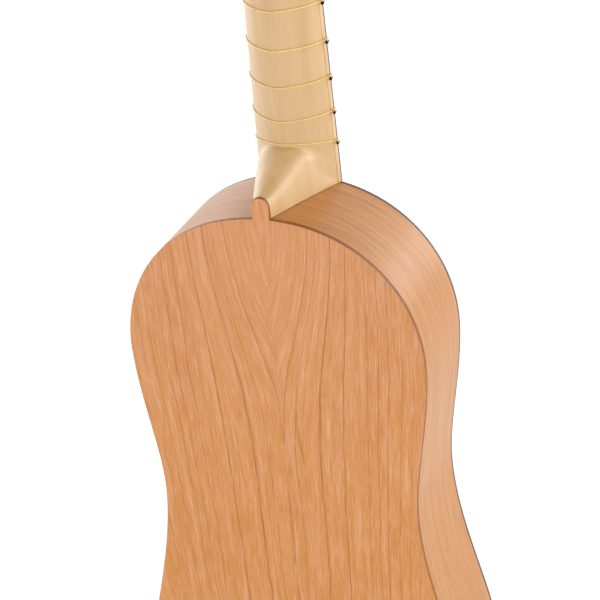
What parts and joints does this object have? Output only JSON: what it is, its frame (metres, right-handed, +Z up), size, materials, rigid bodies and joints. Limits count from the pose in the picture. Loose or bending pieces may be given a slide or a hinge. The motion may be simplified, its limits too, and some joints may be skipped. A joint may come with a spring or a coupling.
{
  "type": "renaissance guitar",
  "caption": "Small waisted guitar with a flat back, a slim rounded neck with tied gut frets, a pierced rose, a low bridge and friction pegs set into a flat peghead from behind.",
  "frame": {"origin": "on the back's outer face, on the centreline, at the top edge of the body where the neck joins", "axes": "+Z up the neck, -Y out of the flat back, +X towards the bass side"},
  "size_m": [0.191, 0.0788, 0.7611],
  "materials": {
    "cherry": "satin oil varnish over fine straight grain",
    "maple": "satin varnish, pale and faintly streaked",
    "spruce": "satin varnish over close straight grain",
    "dark_wood": "oiled, nearly black brown",
    "pearwood": "waxed, even and fine",
    "boxwood": "polished",
    "bone": "polished bone",
    "gut": "amber translucent gut, satin"
  },
  "bodies": {
    "root": {"back": "cherry", "rib_treble": "cherry", "rib_bass": "cherry", "neck": "maple", "peghead": "maple", "soundboard": "spruce", "neck_block": "spruce", "tail_block": "spruce", "back_lining_treble": "spruce", "back_lining_bass": "spruce", "front_lining_treble": "spruce", "front_lining_bass": "spruce", "back_bar_upper": "spruce", "back_bar_middle": "spruce", "back_bar_lower": "spruce", "soundboard_bar_upper": "spruce", "soundboard_bar_lower": "spruce", "fingerboard": "dark_wood", "soundboard_edging": "dark_wood", "rose_ring": "dark_wood", "tail_strip": "dark_wood", "rose": "pearwood", "bridge": "pearwood", "nut": "bone", "string_1": "gut", "string_2": "gut", "string_3": "gut", "string_4": "gut", "string_5": "gut", "string_6": "gut", "string_7": "gut"},
    "peg_1": {"peg_1": "boxwood", "string_winding_1": "gut"},
    "peg_2": {"peg_2": "boxwood", "string_winding_2": "gut"},
    "peg_3": {"peg_3": "boxwood", "string_winding_3": "gut"},
    "peg_4": {"peg_4": "boxwood", "string_winding_4": "gut"},
    "peg_5": {"peg_5": "boxwood", "string_winding_5": "gut"},
    "peg_6": {"peg_6": "boxwood", "string_winding_6": "gut"},
    "peg_7": {"peg_7": "boxwood", "string_winding_7": "gut"},
    "fret_1": {"fret_1": "gut"},
    "fret_2": {"fret_2": "gut"},
    "fret_3": {"fret_3": "gut"},
    "fret_4": {"fret_4": "gut"},
    "fret_5": {"fret_5": "gut"},
    "fret_6": {"fret_6": "gut"},
    "fret_7": {"fret_7": "gut"},
    "fret_8": {"fret_8": "gut"},
    "fret_9": {"fret_9": "gut"},
    "fret_10": {"fret_10": "gut"}
  },
  "joints": [
    {"name": "peg_1_turn", "type": "hinge", "parent": "root", "child": "peg_1", "pos_m": [-0.0195, 0.04857, 0.29475], "axis": [0, 0.9886, 0.1506], "continuous": true},
    {"name": "peg_2_turn", "type": "hinge", "parent": "root", "child": "peg_2", "pos_m": [-0.0195, 0.04405, 0.32441], "axis": [0, 0.9886, 0.1506], "continuous": true},
    {"name": "peg_3_turn", "type": "hinge", "parent": "root", "child": "peg_3", "pos_m": [-0.0195, 0.03953, 0.35407], "axis": [0, 0.9886, 0.1506], "continuous": true},
    {"name": "peg_4_turn", "type": "hinge", "parent": "root", "child": "peg_4", "pos_m": [0, 0.03501, 0.38372], "axis": [0, 0.9886, 0.1506], "continuous": true},
    {"name": "peg_5_turn", "type": "hinge", "parent": "root", "child": "peg_5", "pos_m": [0.0195, 0.03953, 0.35407], "axis": [0, 0.9886, 0.1506], "continuous": true},
    {"name": "peg_6_turn", "type": "hinge", "parent": "root", "child": "peg_6", "pos_m": [0.0195, 0.04405, 0.32441], "axis": [0, 0.9886, 0.1506], "continuous": true},
    {"name": "peg_7_turn", "type": "hinge", "parent": "root", "child": "peg_7", "pos_m": [0.0195, 0.04857, 0.29475], "axis": [0, 0.9886, 0.1506], "continuous": true},
    {"name": "fret_1_slide", "type": "slide", "parent": "root", "child": "fret_1", "axis": [0, -0.029, 0.9996], "range_m": [-0.003, 0.003]},
    {"name": "fret_2_slide", "type": "slide", "parent": "root", "child": "fret_2", "axis": [0, -0.029, 0.9996], "range_m": [-0.003, 0.003]},
    {"name": "fret_3_slide", "type": "slide", "parent": "root", "child": "fret_3", "axis": [0, -0.029, 0.9996], "range_m": [-0.003, 0.003]},
    {"name": "fret_4_slide", "type": "slide", "parent": "root", "child": "fret_4", "axis": [0, -0.029, 0.9996], "range_m": [-0.003, 0.003]},
    {"name": "fret_5_slide", "type": "slide", "parent": "root", "child": "fret_5", "axis": [0, -0.029, 0.9996], "range_m": [-0.003, 0.003]},
    {"name": "fret_6_slide", "type": "slide", "parent": "root", "child": "fret_6", "axis": [0, -0.029, 0.9996], "range_m": [-0.003, 0.003]},
    {"name": "fret_7_slide", "type": "slide", "parent": "root", "child": "fret_7", "axis": [0, -0.029, 0.9996], "range_m": [-0.003, 0.003]},
    {"name": "fret_8_slide", "type": "slide", "parent": "root", "child": "fret_8", "axis": [0, -0.029, 0.9996], "range_m": [-0.003, 0.003]},
    {"name": "fret_9_slide", "type": "slide", "parent": "root", "child": "fret_9", "axis": [0, -0.029, 0.9996], "range_m": [-0.003, 0.003]},
    {"name": "fret_10_slide", "type": "slide", "parent": "root", "child": "fret_10", "axis": [0, -0.029, 0.9996], "range_m": [-0.001, 0.003]}
  ]
}
